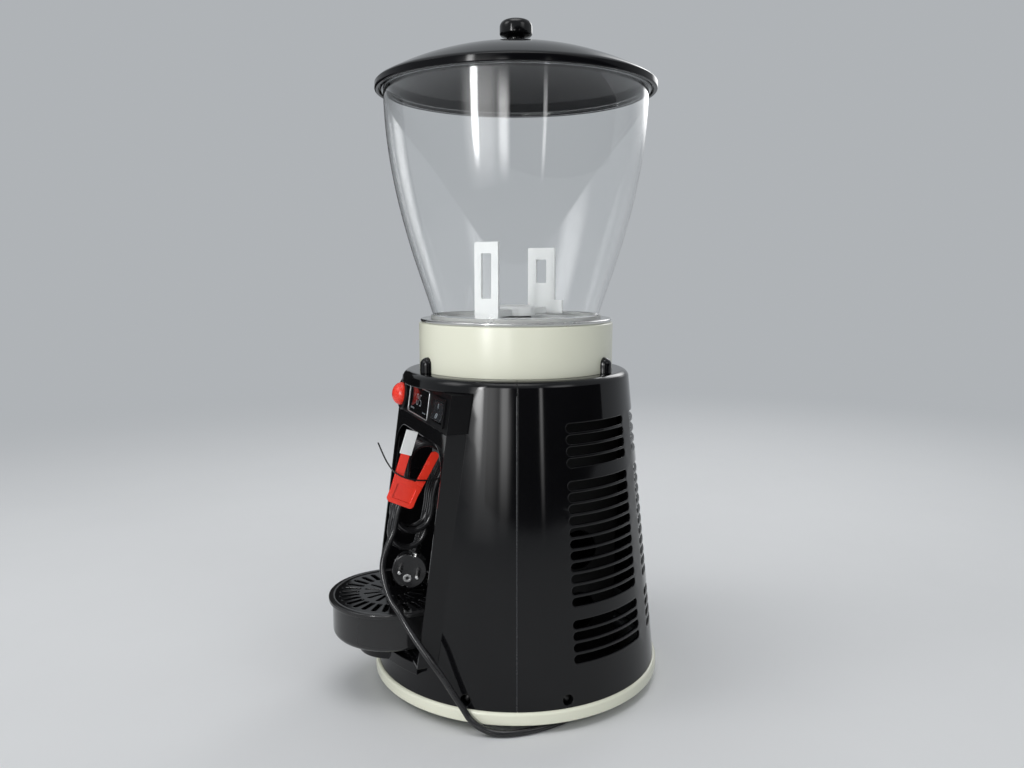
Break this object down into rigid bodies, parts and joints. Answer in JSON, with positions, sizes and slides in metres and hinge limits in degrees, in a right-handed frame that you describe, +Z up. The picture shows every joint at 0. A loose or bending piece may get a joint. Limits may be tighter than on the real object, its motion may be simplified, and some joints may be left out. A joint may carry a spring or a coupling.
{
  "type": "refrigerated drink dispenser",
  "caption": "Table-top cold drink dispenser: louvred round body on a pale ring, clear bowl with mixer, cup niche with tap and drip tray, mains lead tied in a hank.",
  "frame": {"origin": "centre of the object's box on the table, without the mains lead", "axes": "+Z up, front with the niche and the tray faces -Y, +X to the right seen from the front"},
  "size_m": [0.32, 0.372, 0.7112],
  "materials": {
    "pale_plastic": "gloss",
    "black_gloss": "gloss",
    "black_matte": "matte",
    "rubber": "matte",
    "silicone": "satin",
    "steel": "brushed",
    "zinc": "bright",
    "sheet_metal": "satin",
    "aluminium": "satin",
    "copper": "satin",
    "clear": "clear",
    "white_plastic": "satin",
    "red_plastic": "gloss",
    "foam": "matte",
    "board": "satin",
    "black_paint": "satin"
  },
  "bodies": {
    "base": {"base_pan": "sheet_metal", "base_ring": "pale_plastic", "feet": "rubber", "rear_shell": "black_gloss", "front_shell": "black_gloss", "shell_screws": "zinc", "niche_liner": "black_gloss", "control_head": "black_matte", "display_lens": "black_gloss", "display_board": "board", "switch_case": "black_matte", "button_bezel": "black_matte", "tray_support": "black_gloss", "collar": "pale_plastic", "collar_clips": "black_gloss", "foam_ring": "foam", "steel_plate": "steel", "evaporator": "copper", "shaft_seal": "rubber", "bowl_gasket": "silicone", "inner_frame": "black_paint", "gearbox": "aluminium", "gear_motor": "sheet_metal", "compressor": "black_paint", "compressor_mounts": "rubber", "condenser": "black_paint", "fan_shroud": "black_matte", "fan_motor": "aluminium", "suction_pipe": "copper", "discharge_pipe": "copper", "liquid_pipe": "copper", "outlet_hose": "white_plastic", "tap_body": "white_plastic", "spout": "black_gloss", "lever_pin": "zinc", "cord_gland": "black_matte", "cord_run": "rubber", "cord_hank": "rubber", "cord_tail": "rubber", "plug_relief": "rubber", "mains_plug": "black_matte", "cord_clip": "red_plastic", "clip_tag": "white_plastic", "twist_tie": "rubber"},
    "rotor": {"drive_shaft": "zinc", "mixer_hub": "white_plastic", "paddle_long": "white_plastic", "paddle_short": "white_plastic"},
    "fan": {"fan_blades": "black_matte"},
    "bowl": {"bowl": "clear"},
    "lid": {"lid": "black_gloss", "lid_knob": "black_gloss", "knob_screw": "zinc"},
    "tray": {"drip_tray": "black_gloss", "tray_grille": "black_gloss"},
    "rocker": {"rocker": "black_matte"},
    "button": {"push_button": "red_plastic"},
    "lever": {"cup_lever": "black_matte"},
    "plunger": {"valve_plunger": "white_plastic"}
  },
  "joints": [
    {"name": "mixer_spin", "type": "hinge", "parent": "base", "child": "rotor", "pos_m": [0, 0.026, 0.4], "axis": [0, 0, 1], "continuous": true},
    {"name": "fan_spin", "type": "hinge", "parent": "base", "child": "fan", "pos_m": [0, 0.092, 0.225], "axis": [0, 1, 0], "continuous": true},
    {"name": "bowl_lift", "type": "slide", "parent": "base", "child": "bowl", "axis": [0, 0, 1], "range_m": [0, 0.12]},
    {"name": "lid_lift", "type": "slide", "parent": "bowl", "child": "lid", "axis": [0, 0, 1], "range_m": [0, 0.06]},
    {"name": "tray_slide", "type": "slide", "parent": "base", "child": "tray", "axis": [0, -1, 0], "range_m": [0, 0.16]},
    {"name": "rocker_tilt", "type": "hinge", "parent": "base", "child": "rocker", "pos_m": [0.062, -0.07844, 0.31008], "axis": [1, 0, 0], "range_deg": [0, 14]},
    {"name": "button_press", "type": "slide", "parent": "base", "child": "button", "axis": [0, 0.9903, -0.1386], "range_m": [0, 0.004], "stiffness_N_per_m": 600},
    {"name": "lever_swing", "type": "hinge", "parent": "base", "child": "lever", "pos_m": [0, -0.045, 0.2822], "axis": [1, 0, 0], "range_deg": [0, 8], "stiffness_Nm_per_rad": 1.5},
    {"name": "plunger_lift", "type": "slide", "parent": "base", "child": "plunger", "axis": [0, 0, 1], "range_m": [0, 0.004]}
  ],
  "couplings": [
    {"joint": "plunger_lift", "follows": "lever_swing", "m_per_rad": 0.0286}
  ]
}
